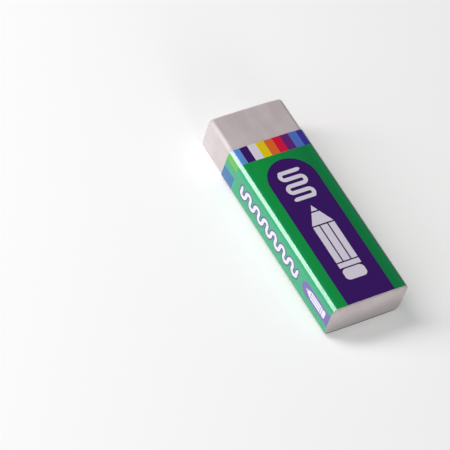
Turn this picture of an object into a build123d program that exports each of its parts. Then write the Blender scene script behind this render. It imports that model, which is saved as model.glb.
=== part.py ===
from build123d import *
import os

# A stick eraser: a block cut from an extruded vinyl bar, in a sleeve of printed paper.
# The eraser lies on a broad face. +X runs from the bare end to the covered end, +Z up.
# The origin is under the middle of the block, where the sleeve meets the table. Millimetres.

os.makedirs("parts", exist_ok=True)

# Vinyl block
block_length = 60.0
block_width = 20.9
block_height = 9.9
block_edge_radius = 1.4
bare_end_radius = 1.2

# Paper sleeve
paper_thickness = 0.15
sleeve_clearance = 0.05
bare_length = 10.7
covered_end_stand_out = 0.2
lap_width = 4.2
lap_step_run = 0.6

# Space inside the sleeve, and the sheet's outer face
inner_width = block_width + 2 * sleeve_clearance
inner_height = block_height + 2 * sleeve_clearance
inner_radius = block_edge_radius + sleeve_clearance
outer_width = inner_width + 2 * paper_thickness
outer_height = inner_height + 2 * paper_thickness
outer_radius = inner_radius + paper_thickness

# Planes that the pieces are drawn on: local X is +Y, local Y is +Z
middle_height = outer_height / 2
bare_end = -block_length / 2
sleeve_length = block_length - bare_length - covered_end_stand_out
bare_end_plane = Plane.YZ.offset(bare_end)
sleeve_start_plane = Plane.YZ.offset(bare_end + bare_length)

# Block: one extruded bar with round long edges, sawn square at the covered end
# and rounded over at the bare end, where it rubs.
with BuildPart() as eraser_block:
    with BuildSketch(bare_end_plane):
        with Locations((0, middle_height)):
            RectangleRounded(block_width, block_height, block_edge_radius)
    extrude(amount=block_length)
    bare_rim = eraser_block.faces().sort_by(Axis.X)[0].edges()
    fillet(bare_rim, radius=bare_end_radius)

# Sleeve: one sheet folded once round the block. Its ends lap and are glued on the +Y side,
# where the outer layer steps out by one thickness and stops at a cut edge.
with BuildPart() as paper_sleeve:
    with BuildSketch(sleeve_start_plane):
        with Locations((0, middle_height)):
            RectangleRounded(outer_width, outer_height, outer_radius)
            RectangleRounded(inner_width, inner_height, inner_radius, mode=Mode.SUBTRACT)
        with BuildLine():
            lap_inside = inner_width / 2 + paper_thickness / 2
            lap_face = outer_width / 2
            lap_top = middle_height + lap_width / 2
            lap_bottom = middle_height - lap_width / 2
            Polyline(
                (lap_inside, lap_top),
                (lap_face, lap_top),
                (lap_face + paper_thickness, lap_top - lap_step_run),
                (lap_face + paper_thickness, lap_bottom),
                (lap_inside, lap_bottom),
                close=True,
            )
        make_face()
    extrude(amount=sleeve_length)

for name, piece in (("eraser_block", eraser_block), ("paper_sleeve", paper_sleeve)):
    piece.part.label = name
    export_step(piece.part, f"parts/{name}.step")
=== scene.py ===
import math

import bmesh
import bpy
from mathutils import Matrix, Vector, noise


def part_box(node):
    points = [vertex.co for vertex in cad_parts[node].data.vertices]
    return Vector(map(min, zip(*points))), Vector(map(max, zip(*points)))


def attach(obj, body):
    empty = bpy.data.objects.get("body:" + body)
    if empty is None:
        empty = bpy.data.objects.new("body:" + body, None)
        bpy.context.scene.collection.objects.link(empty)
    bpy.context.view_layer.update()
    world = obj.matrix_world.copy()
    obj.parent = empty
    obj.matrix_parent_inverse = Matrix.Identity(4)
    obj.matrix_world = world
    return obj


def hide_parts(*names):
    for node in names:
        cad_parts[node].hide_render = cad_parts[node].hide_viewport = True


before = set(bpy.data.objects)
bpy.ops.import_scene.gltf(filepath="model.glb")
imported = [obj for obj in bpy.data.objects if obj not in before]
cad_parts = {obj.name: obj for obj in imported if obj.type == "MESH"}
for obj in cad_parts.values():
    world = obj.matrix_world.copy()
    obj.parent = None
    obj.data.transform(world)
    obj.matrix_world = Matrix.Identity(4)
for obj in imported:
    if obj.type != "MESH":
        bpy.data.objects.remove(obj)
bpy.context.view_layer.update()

mm = 0.001


# The eraser block is soft white vinyl with a pink cast, cut from an extruded bar. Its long
# edges are round from the die, its covered end is a knife cut, and its bare end is rubbed
# round. The sleeve holds it by friction alone.
block_low, block_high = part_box("eraser_block")
block_middle = (block_low + block_high) / 2
block_size = block_high - block_low
block_edge_radius = 1.4 * mm
bare_rim_radius = 1.2 * mm
cut_rim_radius = 0.35 * mm
block_cell = 1.0 * mm
face_crown = 0.12 * mm
crown_start = 5.5 * mm
sharp_angle = math.radians(50)
vinyl_pale = (0.76, 0.66, 0.67)
vinyl_deep = (0.67, 0.56, 0.565)
# Painted shade for the cut end, darker towards its bottom
vinyl_painted_shade = (0.45, 0.41, 0.41)
# Painted contact shadow for the cut end's lower rim
vinyl_painted_contact_shadow = (0.10, 0.09, 0.09)
vinyl_speck = (0.30, 0.25, 0.23)


def smooth_step(low, high, value):
    share = min(max((value - low) / (high - low), 0.0), 1.0)
    return share * share * (3 - 2 * share)


def edges_in_plane(bm, axis, place):
    return [e for e in bm.edges if all(abs(v.co[axis] - place) < 1e-7 for v in e.verts)]


def round_edges(bm, edges, radius, segments):
    bmesh.ops.bevel(
        bm, geom=edges, offset=radius, offset_type="OFFSET", segments=segments,
        profile=0.5, affect="EDGES", clamp_overlap=False, material=-1,
    )


def cut_across(bm, axis, low, high, cell):
    normal = Vector([1.0 if i == axis else 0.0 for i in range(3)])
    count = max(1, round((high - low) / cell))
    for i in range(count + 1):
        place = normal * (low + (high - low) * i / count)
        everything = bm.verts[:] + bm.edges[:] + bm.faces[:]
        bmesh.ops.bisect_plane(bm, geom=everything, plane_co=place, plane_no=normal, dist=1e-7)


def finish_mesh(bm, name):
    mesh = bpy.data.meshes.new(name)
    bm.normal_update()
    bm.to_mesh(mesh)
    bm.free()
    piece = bpy.data.objects.new(name, mesh)
    bpy.context.scene.collection.objects.link(piece)
    return piece


def wear_block(vertex):
    """Rubs the block down a little: never outwards, so it still slides in its sleeve."""
    co = vertex.co
    dent = 0.5 + 0.5 * noise.noise(co / (6 * mm))
    amount = 0.03 * mm * dent
    to_bare_end = 1 - smooth_step(block_low.x, block_low.x + 3.2 * mm, co.x)
    rub = max(0.0, noise.noise(co / (3.1 * mm) + Vector((7, 3, 5))))
    amount += 0.16 * mm * rub * to_bare_end
    return co - vertex.normal * amount


bm = bmesh.new()
bmesh.ops.create_cube(bm, size=1)
bmesh.ops.scale(bm, vec=block_size, verts=bm.verts)
bmesh.ops.translate(bm, vec=block_middle, verts=bm.verts)
along = [e for e in bm.edges if abs(e.verts[0].co.x - e.verts[1].co.x) > block_size.x / 2]
round_edges(bm, along, block_edge_radius, 10)
round_edges(bm, edges_in_plane(bm, 0, block_low.x), bare_rim_radius, 9)
round_edges(bm, edges_in_plane(bm, 0, block_high.x), cut_rim_radius, 3)
cut_across(bm, 0, block_low.x + bare_rim_radius, block_high.x - cut_rim_radius, block_cell)
half_flat = block_size / 2 - Vector((0, block_edge_radius, block_edge_radius))
cut_across(bm, 1, -half_flat.y, half_flat.y, block_cell)
cut_across(bm, 2, block_middle.z - half_flat.z, block_middle.z + half_flat.z, block_cell)
bmesh.ops.remove_doubles(bm, verts=bm.verts, dist=1e-7)
bm.normal_update()
worn = {v: wear_block(v) for v in bm.verts}
for vertex, place in worn.items():
    to_edge = smooth_step(crown_start, half_flat.y, abs(place.y))
    side = 1 if place.z > block_middle.z else -1
    to_face = smooth_step(0, half_flat.z, abs(place.z - block_middle.z))
    vertex.co = place - Vector((0, 0, side * face_crown * to_edge * to_face))
for face in bm.faces:
    face.smooth = True
block = finish_mesh(bm, "vinyl_block")
block.data.set_sharp_from_angle(angle=sharp_angle)


class Nodes:
    """Adds nodes to a material or world and links them: each input takes a value or a socket."""

    def __init__(self, owner):
        owner.use_nodes = True
        self.owner = owner
        self.tree = owner.node_tree
        self.tree.nodes.clear()

    def add(self, kind, inputs=None, output=0, **settings):
        node = self.tree.nodes.new(kind)
        for key, value in settings.items():
            setattr(node, key, value)
        for key, value in (inputs or {}).items():
            socket = node.inputs[key]
            if isinstance(value, bpy.types.NodeSocket):
                self.tree.links.new(value, socket)
            elif hasattr(value, "__len__") and socket.type == "RGBA":
                socket.default_value = (*value, 1)
            else:
                socket.default_value = value
        return node.outputs[output] if len(node.outputs) else node

    def math(self, operation, a, b=0.0, c=0.0, clamp=False):
        return self.add("ShaderNodeMath", {0: a, 1: b, 2: c}, operation=operation, use_clamp=clamp)

    def mix(self, share, a, b):
        return self.add("ShaderNodeMix", {"Factor": share, "A": a, "B": b}, 2, data_type="RGBA")

    def noise(self, where, size, detail=2.0, roughness=0.5):
        values = {"Vector": where, "Scale": 1 / size, "Detail": detail, "Roughness": roughness}
        return self.add("ShaderNodeTexNoise", values)

    def ramp(self, value, low, high, out_low=0.0, out_high=1.0):
        inputs = {"Value": value, "From Min": low, "From Max": high, "To Min": out_low, "To Max": out_high}
        return self.add("ShaderNodeMapRange", inputs, interpolation_type="SMOOTHSTEP")


def vinyl_material():
    n = Nodes(bpy.data.materials.new("soft_vinyl"))
    where = n.add("ShaderNodeTexCoord", output=3)
    drawn = n.add("ShaderNodeMapping", {"Vector": where, "Scale": (0.16, 1.0, 1.0)})
    cloud = n.noise(where, 7 * mm, 3)
    streak = n.noise(drawn, 2.2 * mm, 1)
    tone = n.math("ADD", n.math("MULTIPLY", cloud, 0.7), n.math("MULTIPLY", streak, 0.3))
    colour = n.mix(n.ramp(tone, 0.32, 0.68), vinyl_deep, vinyl_pale)
    cell = n.add("ShaderNodeTexVoronoi", {"Vector": where, "Scale": 1 / (2.6 * mm)})
    chosen = n.ramp(n.noise(where, 5 * mm, 0), 0.56, 0.6)
    speck = n.math("MULTIPLY", n.ramp(cell, 0.035, 0.02), chosen)
    colour = n.mix(n.math("MULTIPLY", speck, 0.7), colour, vinyl_speck)
    split = n.tree.nodes.new("ShaderNodeSeparateXYZ")
    n.tree.links.new(where, split.inputs[0])
    on_cut_end = n.math("GREATER_THAN", split.outputs[0], block_high.x - cut_rim_radius)
    # Painted shade: the cut end grows darker towards the bottom
    low_down = n.ramp(split.outputs[2], 8 * mm, 0.5 * mm, 0.0, 0.95)
    colour = n.mix(n.math("MULTIPLY", on_cut_end, low_down), colour, vinyl_painted_shade)
    # Painted contact shadow: a dark line along the cut end's lower rim
    low_rim = n.ramp(split.outputs[2], 1.15 * mm, 0.8 * mm, 0.0, 0.9)
    colour = n.mix(n.math("MULTIPLY", on_cut_end, low_rim), colour, vinyl_painted_contact_shadow)
    fine = n.noise(where, 0.35 * mm, 4, 0.6)
    pit = n.ramp(n.noise(where, 0.9 * mm, 1), 0.30, 0.42)
    height = n.math("ADD", n.math("MULTIPLY", fine, 0.35), n.math("MULTIPLY", pit, 0.65))
    bump = n.add("ShaderNodeBump", {"Height": height, "Strength": 0.35, "Distance": 0.02 * mm})
    rough = n.ramp(n.noise(where, 2.4 * mm, 3), 0.3, 0.7, 0.28, 0.40)
    shader = n.add("ShaderNodeBsdfPrincipled", {
        "Base Color": colour, "Roughness": rough, "Normal": bump, "IOR": 1.5,
        "Subsurface Weight": 0.2, "Subsurface Radius": (1.0, 0.55, 0.5), "Subsurface Scale": 1.2 * mm,
    })
    n.add("ShaderNodeOutputMaterial", {"Surface": shader})
    return n.owner


block.data.materials.append(vinyl_material())
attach(block, "block")
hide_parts("eraser_block")


# The sleeve is one sheet of coated paper, printed flat, then folded round the block with
# its two ends lapped and glued on the narrow side at +Y. Its print is off-white pencils and
# pencil lines on indigo and green, with a band of rainbow stripes at the bare end.
sleeve_low, sleeve_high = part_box("paper_sleeve")
sleeve_half_width = -sleeve_low.y
sleeve_height = sleeve_high.z
paper = sleeve_high.y - sleeve_half_width
glue_gap = 0.01 * mm
sleeve_radius = 1.6 * mm
flat_half = sleeve_half_width - sleeve_radius
side_flat = sleeve_height - 2 * sleeve_radius
quarter = math.pi / 2 * sleeve_radius
half_turn = 2 * flat_half + 2 * quarter + side_flat
lap_step = 0.6 * mm
lap_width = 4.2 * mm
lap_cut_height = (sleeve_height - lap_width) / 2
lap_top_height = (sleeve_height + lap_width) / 2
side_top_height = sleeve_height - sleeve_radius
sheet_start = -(flat_half + quarter + side_top_height - lap_cut_height)
lap_starts = -(flat_half + quarter + side_top_height - lap_top_height)
sheet_end = 2 * half_turn + lap_starts - lap_step
sheet_length = sleeve_high.x - sleeve_low.x
sheet_width = sheet_end - sheet_start
uv_span = 100 * mm


def fold(across):
    """Place and outward normal on the folded sheet: 0 is the middle of the top face, and
    the sheet runs from there over the -Y edge, under the block and up the +Y side."""
    turns = round(across / half_turn)
    rest = across - turns * half_turn
    side = 1 if rest > 0 else -1
    out = abs(rest)
    if out <= flat_half:
        y, z, angle = -rest, sleeve_height, 0.0
    elif out <= flat_half + quarter:
        angle = (out - flat_half) / sleeve_radius
        y = -side * (flat_half + sleeve_radius * math.sin(angle))
        z = sleeve_height - sleeve_radius + sleeve_radius * math.cos(angle)
    else:
        angle = math.pi / 2
        y = -side * sleeve_half_width
        z = side_top_height - (out - flat_half - quarter)
    normal = Vector((0, -side * math.sin(angle), math.cos(angle)))
    if turns % 2:
        y, z = -y, sleeve_height - z
        normal = -normal
    return Vector((0, y, z)), normal


def press_sheet(along, across, normal):
    """How far the paper lies under its full size: its slack, and the faces' bow inwards."""
    where = Vector((along, across, 0))
    slack = 0.5 + 0.5 * noise.noise(where / (9 * mm))
    place = round(across / half_turn) * half_turn
    to_edge = smooth_step(crown_start, flat_half, abs(across - place)) * abs(normal.z)
    return 0.025 * mm * slack + face_crown * to_edge


bm = bmesh.new()
uv = bm.loops.layers.uv.new("sheet")
bmesh.ops.create_grid(bm, x_segments=70, y_segments=180, size=0.5)
bmesh.ops.scale(bm, vec=(sheet_length, sheet_width, 1), verts=bm.verts)
middle = ((sleeve_low.x + sleeve_high.x) / 2, (sheet_start + sheet_end) / 2, 0)
bmesh.ops.translate(bm, vec=middle, verts=bm.verts)
for face in bm.faces:
    face.smooth = True
    for loop in face.loops:
        along = loop.vert.co.x - block_low.x
        across = loop.vert.co.y - sheet_start
        loop[uv].uv = (along / uv_span, across / uv_span)
folded = {}
for vertex in bm.verts:
    along, across = vertex.co.x, vertex.co.y
    place, normal = fold(across)
    lift = paper * (1 - smooth_step(lap_starts - lap_step, lap_starts, across))
    height = lift - press_sheet(along, across, normal)
    folded[vertex] = (Vector((along, 0, 0)) + place + normal * height, normal)
printed_faces = bm.faces[:]
extruded = bmesh.ops.extrude_face_region(bm, geom=printed_faces, use_keep_orig=True)
under = [v for v in extruded["geom"] if isinstance(v, bmesh.types.BMVert)]
flat_place = {(round(v.co.x, 7), round(v.co.y, 7)): v for v in folded}
for vertex in under:
    above = flat_place[(round(vertex.co.x, 7), round(vertex.co.y, 7))]
    place, normal = folded[above]
    vertex.co = place - normal * (paper - glue_gap)
for vertex, (place, normal) in folded.items():
    vertex.co = place
outside = set(printed_faces)
for face in bm.faces:
    face.material_index = 0 if face in outside else 1
bmesh.ops.recalc_face_normals(bm, faces=bm.faces)
sleeve = finish_mesh(bm, "printed_sleeve")
sleeve.data.set_sharp_from_angle(angle=sharp_angle)

# Print sizes, along the block from its bare end and across the sheet from the middle of the
# top face, in millimetres
stripe_pitch = 2.286
stripe_start, stripe_end = -10.33, 38.2
stripe_period = 25.6
stripe_along = (10.6, 15.33)
panel_along, panel_radius = 17.15, 6.62
low_blue_across = (15.1, 19.84)
side_panel_along, side_panel_across, side_panel_radius = 47.8, 14.75, 2.0
far_fold_across = -10.3
line_turn = 1.0
main_line_along, main_line_reach, main_line_half = (21.0, 29.0), 1.9, 0.55
main_pencil_tip, main_pencil_size = 31.6, 5.9
side_line_along, side_line_across, side_line_reach = (19.0, 45.0), 14.9, 0.35
side_line_half, side_line_rim = 0.5, 0.85
side_pencil_tip, side_pencil_size = 49.4, 2.3
ink_edge = 0.05
sheet_green = (0.0, 0.36, 0.058)
# Painted shade: the green of the top face darkens towards the far side
far_green_painted_shade = (0.0, 0.25, 0.055)
# Painted sheen: a lighter, bluer green over the narrow sides
side_green_painted_sheen = (0.0, 0.42, 0.18)
panel_indigo = (0.046, 0.004, 0.15)
side_panel_violet = (0.17, 0.11, 0.44)
line_violet = (0.06, 0.03, 0.22)
low_blue_ink = (0.005, 0.15, 0.41)
# Painted shade along the far round edge of the sleeve
far_edge_painted_shade = (0.09, 0.10, 0.06)
print_white = (0.90, 0.82, 0.93)
stripe_inks = [
    (0.05, 0.035, 0.40), (0.10, 0.20, 0.66), (0.15, 0.015, 0.21), (0.84, 0.003, 0.05),
    (0.88, 0.16, 0.025), (0.95, 0.70, 0.005), print_white, panel_indigo,
    (0.13, 0.33, 0.78), (0.12, 0.50, 0.06),
]


class Print(Nodes):
    """Flat shapes of ink. Each shape is a share, 1 inside and 0 outside, from its distance."""

    def inside(self, distance):
        return self.ramp(distance, ink_edge / 2, -ink_edge / 2)

    def length(self, a, b):
        return self.math("SQRT", self.math("ADD", self.math("MULTIPLY", a, a), self.math("MULTIPLY", b, b)))

    def beyond(self, value, low, high):
        """How far value lies outside the span from low to high."""
        under = self.math("SUBTRACT", low, value)
        over = self.math("SUBTRACT", value, high)
        return self.math("MAXIMUM", self.math("MAXIMUM", under, over), 0.0)

    def block(self, along, across, x_span, y_span, corner=0.0):
        """A rectangle with round corners."""
        x_out = self.beyond(along, x_span[0] + corner, x_span[1] - corner)
        y_out = self.beyond(across, y_span[0] + corner, y_span[1] - corner)
        return self.inside(self.math("SUBTRACT", self.length(x_out, y_out), corner + ink_edge / 2))

    def winding(self, along, across, x_span, turn, reach):
        """Distance from a line that winds along x_span: straight legs joined by half circles
        of radius turn, whose centres lie at reach on either side."""
        on_line = self.math("MINIMUM", self.math("MAXIMUM", along, x_span[0]), x_span[1])
        from_cap = self.math("SUBTRACT", on_line, x_span[0] + turn)
        from_cap = self.math("ABSOLUTE", self.math("WRAP", from_cap, 2 * turn, -2 * turn))
        lower = self.math("MULTIPLY", self.math("LESS_THAN", across, 0.0), 2 * turn)
        from_cap = self.math("SUBTRACT", lower, from_cap)
        past = self.beyond(across, -reach, reach)
        off = self.math("SUBTRACT", self.length(from_cap, past), turn)
        return self.length(self.math("SUBTRACT", along, on_line), off)

    def pencil(self, along, across, tip, size):
        """A pencil that points to the bare end: lead, sharpened cone, body, band and end."""
        half = 0.5 * size
        from_tip = self.math("SUBTRACT", along, tip)
        out = self.math("ABSOLUTE", across)
        cone_length = 0.95 * size
        slope = half / cone_length
        off_cone = self.math("SUBTRACT", out, self.math("MULTIPLY", from_tip, slope))
        cone_end = self.math("SUBTRACT", from_tip, cone_length)
        cone = self.inside(self.math("MAXIMUM", off_cone, cone_end))
        body = self.block(from_tip, across, (cone_length + 0.07 * size, 2.85 * size), (-half, half))
        band = self.block(from_tip, across, (2.92 * size, 3.14 * size), (-half, half))
        end = self.block(from_tip, across, (3.21 * size, 3.75 * size), (-half, half), 0.2 * size)
        joined = self.math("MAXIMUM", self.math("MAXIMUM", cone, body), self.math("MAXIMUM", band, end))
        from_lead = self.math("ABSOLUTE", self.math("SUBTRACT", from_tip, 0.32 * size))
        lead_gap = self.inside(self.math("SUBTRACT", from_lead, 0.035 * size))
        from_ridge = self.math("ABSOLUTE", self.math("SUBTRACT", out, 0.19 * size))
        ridge = self.math("SUBTRACT", from_ridge, 0.03 * size)
        on_body = self.math("SUBTRACT", cone_length, from_tip)
        past_body = self.math("SUBTRACT", from_tip, 2.87 * size)
        ridge = self.math("MAXIMUM", self.math("MAXIMUM", ridge, on_body), past_body)
        gaps = self.math("MAXIMUM", lead_gap, self.inside(ridge))
        return self.math("MULTIPLY", joined, self.math("SUBTRACT", 1.0, gaps))


def printed_material():
    n = Print(bpy.data.materials.new("printed_coated_paper"))
    flat = n.add("ShaderNodeUVMap", uv_map="sheet")
    sheet = n.add("ShaderNodeMapping", {
        "Vector": flat,
        "Scale": (uv_span / mm, uv_span / mm, 1),
        "Location": (0, sheet_start / mm, 0),
    })
    split = n.tree.nodes.new("ShaderNodeSeparateXYZ")
    n.tree.links.new(sheet, split.inputs[0])
    along, across = split.outputs[0], split.outputs[1]
    half = half_turn / mm
    face = n.math("WRAP", across, half / 2, -half / 2)

    to_side = n.ramp(n.math("ABSOLUTE", face), 7.8, 11.8)
    # Painted shade: the green darkens across the top towards the far edge
    colour = n.mix(n.ramp(face, -9.0, 6.0), far_green_painted_shade, sheet_green)
    # Painted sheen: the green turns lighter and bluer over the narrow sides
    colour = n.mix(to_side, colour, side_green_painted_sheen)
    colour = n.mix(n.ramp(n.noise(sheet, 0.8, 3), 0.3, 0.7, 0.0, 0.05), colour, line_violet)

    place = n.math("WRAP", across, stripe_start + stripe_period, stripe_start)
    place = n.math("DIVIDE", n.math("SUBTRACT", place, stripe_start), stripe_period)
    inks = n.tree.nodes.new("ShaderNodeValToRGB")
    n.tree.links.new(place, inks.inputs[0])
    ramp = inks.color_ramp
    ramp.interpolation = "CONSTANT"
    for i, ink in enumerate(stripe_inks):
        stop = ramp.elements[i] if i < 2 else ramp.elements.new(1.0)
        stop.position = i * stripe_pitch / stripe_period
        stop.color = (*ink, 1)
    on_stripe = n.math("LESS_THAN", place, len(stripe_inks) * stripe_pitch / stripe_period)
    band = n.block(along, across, stripe_along, (stripe_start, stripe_end))
    band = n.math("MULTIPLY", band, on_stripe)
    colour = n.mix(band, colour, inks.outputs[0])

    low_blue = n.block(along, across, stripe_along, low_blue_across)
    colour = n.mix(low_blue, colour, low_blue_ink)

    before_centre = n.math("SUBTRACT", panel_along + panel_radius, along)
    panel = n.length(n.math("MAXIMUM", before_centre, 0.0), face)
    colour = n.mix(n.inside(n.math("SUBTRACT", panel, panel_radius)), colour, panel_indigo)
    side_out = n.math("SUBTRACT", across, side_panel_across)
    side_in = n.math("MAXIMUM", n.math("SUBTRACT", side_panel_along + side_panel_radius, along), 0.0)
    side_panel = n.inside(n.math("SUBTRACT", n.length(side_in, side_out), side_panel_radius))
    colour = n.mix(side_panel, colour, side_panel_violet)

    main_line = n.winding(along, face, main_line_along, line_turn, main_line_reach)
    white = n.inside(n.math("SUBTRACT", main_line, main_line_half))
    white = n.math("MAXIMUM", white, n.pencil(along, face, main_pencil_tip, main_pencil_size))
    small = n.pencil(along, side_out, side_pencil_tip, side_pencil_size)
    white = n.math("MAXIMUM", white, small)
    off_side_line = n.math("SUBTRACT", across, side_line_across)
    side_line = n.winding(along, off_side_line, side_line_along, line_turn, side_line_reach)
    colour = n.mix(n.inside(n.math("SUBTRACT", side_line, side_line_rim)), colour, line_violet)
    white = n.math("MAXIMUM", white, n.inside(n.math("SUBTRACT", side_line, side_line_half)))
    colour = n.mix(white, colour, print_white)

    # Painted shade: a dark line along the far round edge of the sleeve
    from_fold = n.math("ABSOLUTE", n.math("SUBTRACT", face, far_fold_across))
    far_fold = n.ramp(from_fold, 1.1, 0.6, 0.0, 0.6)
    colour = n.mix(far_fold, colour, far_edge_painted_shade)

    waviness = n.noise(sheet, 6.0, 1)
    grain = n.noise(sheet, 0.12, 2)
    height = n.math("ADD", waviness, n.math("MULTIPLY", grain, 0.006))
    bump = n.add("ShaderNodeBump", {"Height": height, "Strength": 0.4, "Distance": 0.05 * mm})
    rough = n.ramp(n.noise(sheet, 3.0, 3), 0.3, 0.7, 0.10, 0.17)
    shader = n.add("ShaderNodeBsdfPrincipled", {
        "Base Color": colour, "Roughness": rough, "Normal": bump, "IOR": 1.7,
    })
    n.add("ShaderNodeOutputMaterial", {"Surface": shader})
    return n.owner


def bare_paper_material():
    n = Nodes(bpy.data.materials.new("bare_paper"))
    where = n.add("ShaderNodeTexCoord", output=3)
    fibre = n.noise(where, 0.15 * mm, 3, 0.6)
    colour = n.mix(fibre, (0.74, 0.72, 0.69), (0.84, 0.82, 0.79))
    bump = n.add("ShaderNodeBump", {"Height": fibre, "Strength": 0.3, "Distance": 0.01 * mm})
    shader = n.add("ShaderNodeBsdfPrincipled", {"Base Color": colour, "Roughness": 0.85, "Normal": bump})
    n.add("ShaderNodeOutputMaterial", {"Surface": shader})
    return n.owner


sleeve.data.materials.append(printed_material())
sleeve.data.materials.append(bare_paper_material())
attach(sleeve, "sleeve")
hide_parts("paper_sleeve")


# The eraser lies on a plain pale table. The table shows a little paler than the lamps make
# it, to the camera and in reflections alike, and keeps the shadow. Its white is a touch warm,
# against the cool tint of two of the lamps.
table_size = 12.0
table_white = (0.92, 0.89, 0.88)
table_glow = 0.28


def seen_directly(n):
    """1 for what the camera, a reflection or clear glass shows, 0 for what lights the object."""
    path = n.tree.nodes.new("ShaderNodeLightPath").outputs
    some = n.math("ADD", path["Is Camera Ray"], path["Is Glossy Ray"])
    return n.math("ADD", some, path["Is Transmission Ray"], clamp=True)


def table_material():
    n = Nodes(bpy.data.materials.new("pale_table"))
    cloth = n.add("ShaderNodeBsdfDiffuse", {"Color": table_white})
    glow = n.add("ShaderNodeEmission", {"Strength": n.math("MULTIPLY", seen_directly(n), table_glow)})
    n.add("ShaderNodeOutputMaterial", {"Surface": n.add("ShaderNodeAddShader", {0: cloth, 1: glow})})
    return n.owner


bm = bmesh.new()
bmesh.ops.create_grid(bm, x_segments=1, y_segments=1, size=table_size / 2)
table = finish_mesh(bm, "table")
table.data.materials.append(table_material())


# Studio light: a dim even room that is pale only at its foot, one tall soft panel on the -Y
# side that draws the line along the round edge, and two low fills for the side and cut end.
room_light = 0.10
room_above = (0.09, 0.09, 0.09)
room_foot = (0.85, 0.85, 0.85)

world = bpy.data.worlds.new("studio")
bpy.context.scene.world = world
n = Nodes(world)
direction = n.add("ShaderNodeTexCoord")
split = n.tree.nodes.new("ShaderNodeSeparateXYZ")
n.tree.links.new(direction, split.inputs[0])
height = n.ramp(split.outputs[2], 0.08, 0.2)
backdrop = n.add("ShaderNodeBackground", {"Color": n.mix(height, room_foot, room_above)})
light = n.add("ShaderNodeBackground", {"Color": (1, 1, 1), "Strength": room_light})
both = n.add("ShaderNodeMixShader", {0: seen_directly(n), 1: light, 2: backdrop})
n.add("ShaderNodeOutputWorld", {"Surface": both})


def soft_panel(name, towards, distance, width, height, radiance, colour=(1, 1, 1)):
    """A panel that faces the eraser: width runs along the block, height curves round it."""
    lamp = bpy.data.lights.new(name, "AREA")
    lamp.shape = "RECTANGLE"
    lamp.color = colour
    lamp.size, lamp.size_y = width, height
    lamp.energy = radiance * math.pi * width * height
    back = Vector(towards).normalized()
    along = (Vector((1, 0, 0)) - back * back.x).normalized()
    turn = Matrix((along, back.cross(along), back)).transposed().to_4x4()
    holder = bpy.data.objects.new(name, lamp)
    holder.matrix_world = Matrix.Translation(back * distance) @ turn
    bpy.context.scene.collection.objects.link(holder)


soft_panel("edge_panel", (-0.46, -0.62, 0.64), 0.7, 0.18, 0.80, 9.7, (0.97, 0.985, 1.0))
soft_panel("side_fill", (0.25, -0.93, 0.25), 0.9, 0.7, 0.4, 1.8, (0.7, 1.0, 1.0))
soft_panel("end_fill", (0.95, -0.15, 0.22), 0.9, 0.5, 0.3, 5.4)


# Camera: a long lens, above the covered end and a little rolled
scene = bpy.context.scene
scene.view_settings.view_transform = "Standard"
camera_place = Vector((304.16, -335.57, 541.14)) * mm
camera_back = Vector((0.44327, -0.45524, 0.77218)).normalized()
camera_up = Vector((-0.7534, 0.27755, 0.59612)).normalized()
camera_right = camera_up.cross(camera_back).normalized()
camera_up = camera_back.cross(camera_right)
lens = bpy.data.cameras.new("camera")
lens.sensor_width = 36
lens.lens = 237.26
lens.clip_start = 0.01
camera = bpy.data.objects.new("camera", lens)
turn = Matrix((camera_right, camera_up, camera_back)).transposed().to_4x4()
camera.matrix_world = Matrix.Translation(camera_place) @ turn
scene.collection.objects.link(camera)
scene.camera = camera
